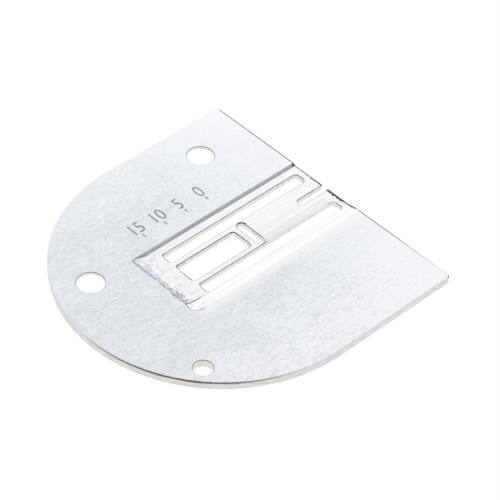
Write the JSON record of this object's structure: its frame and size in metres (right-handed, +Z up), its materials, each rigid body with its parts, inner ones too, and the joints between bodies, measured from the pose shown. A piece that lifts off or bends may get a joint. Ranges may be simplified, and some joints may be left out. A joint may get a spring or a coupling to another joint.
{
  "type": "sewing machine needle plate",
  "caption": "Flat steel needle plate with a round rear end, a stepped feed channel with slots and a needle slot, and round locating holes.",
  "frame": {"origin": "centre of the plate's bounding box at its underside", "axes": "+Z up out of the working face; +Y along the feed, from the straight front edge to the round rear end; +X across the feed, towards the side with the large round holes"},
  "size_m": [0.06, 0.0575, 0.0015],
  "materials": {
    "plate_steel": "pale satin plating with a fine grain along the feed"
  },
  "bodies": {
    "root": {"needle_plate": "plate_steel"}
  },
  "joints": []
}
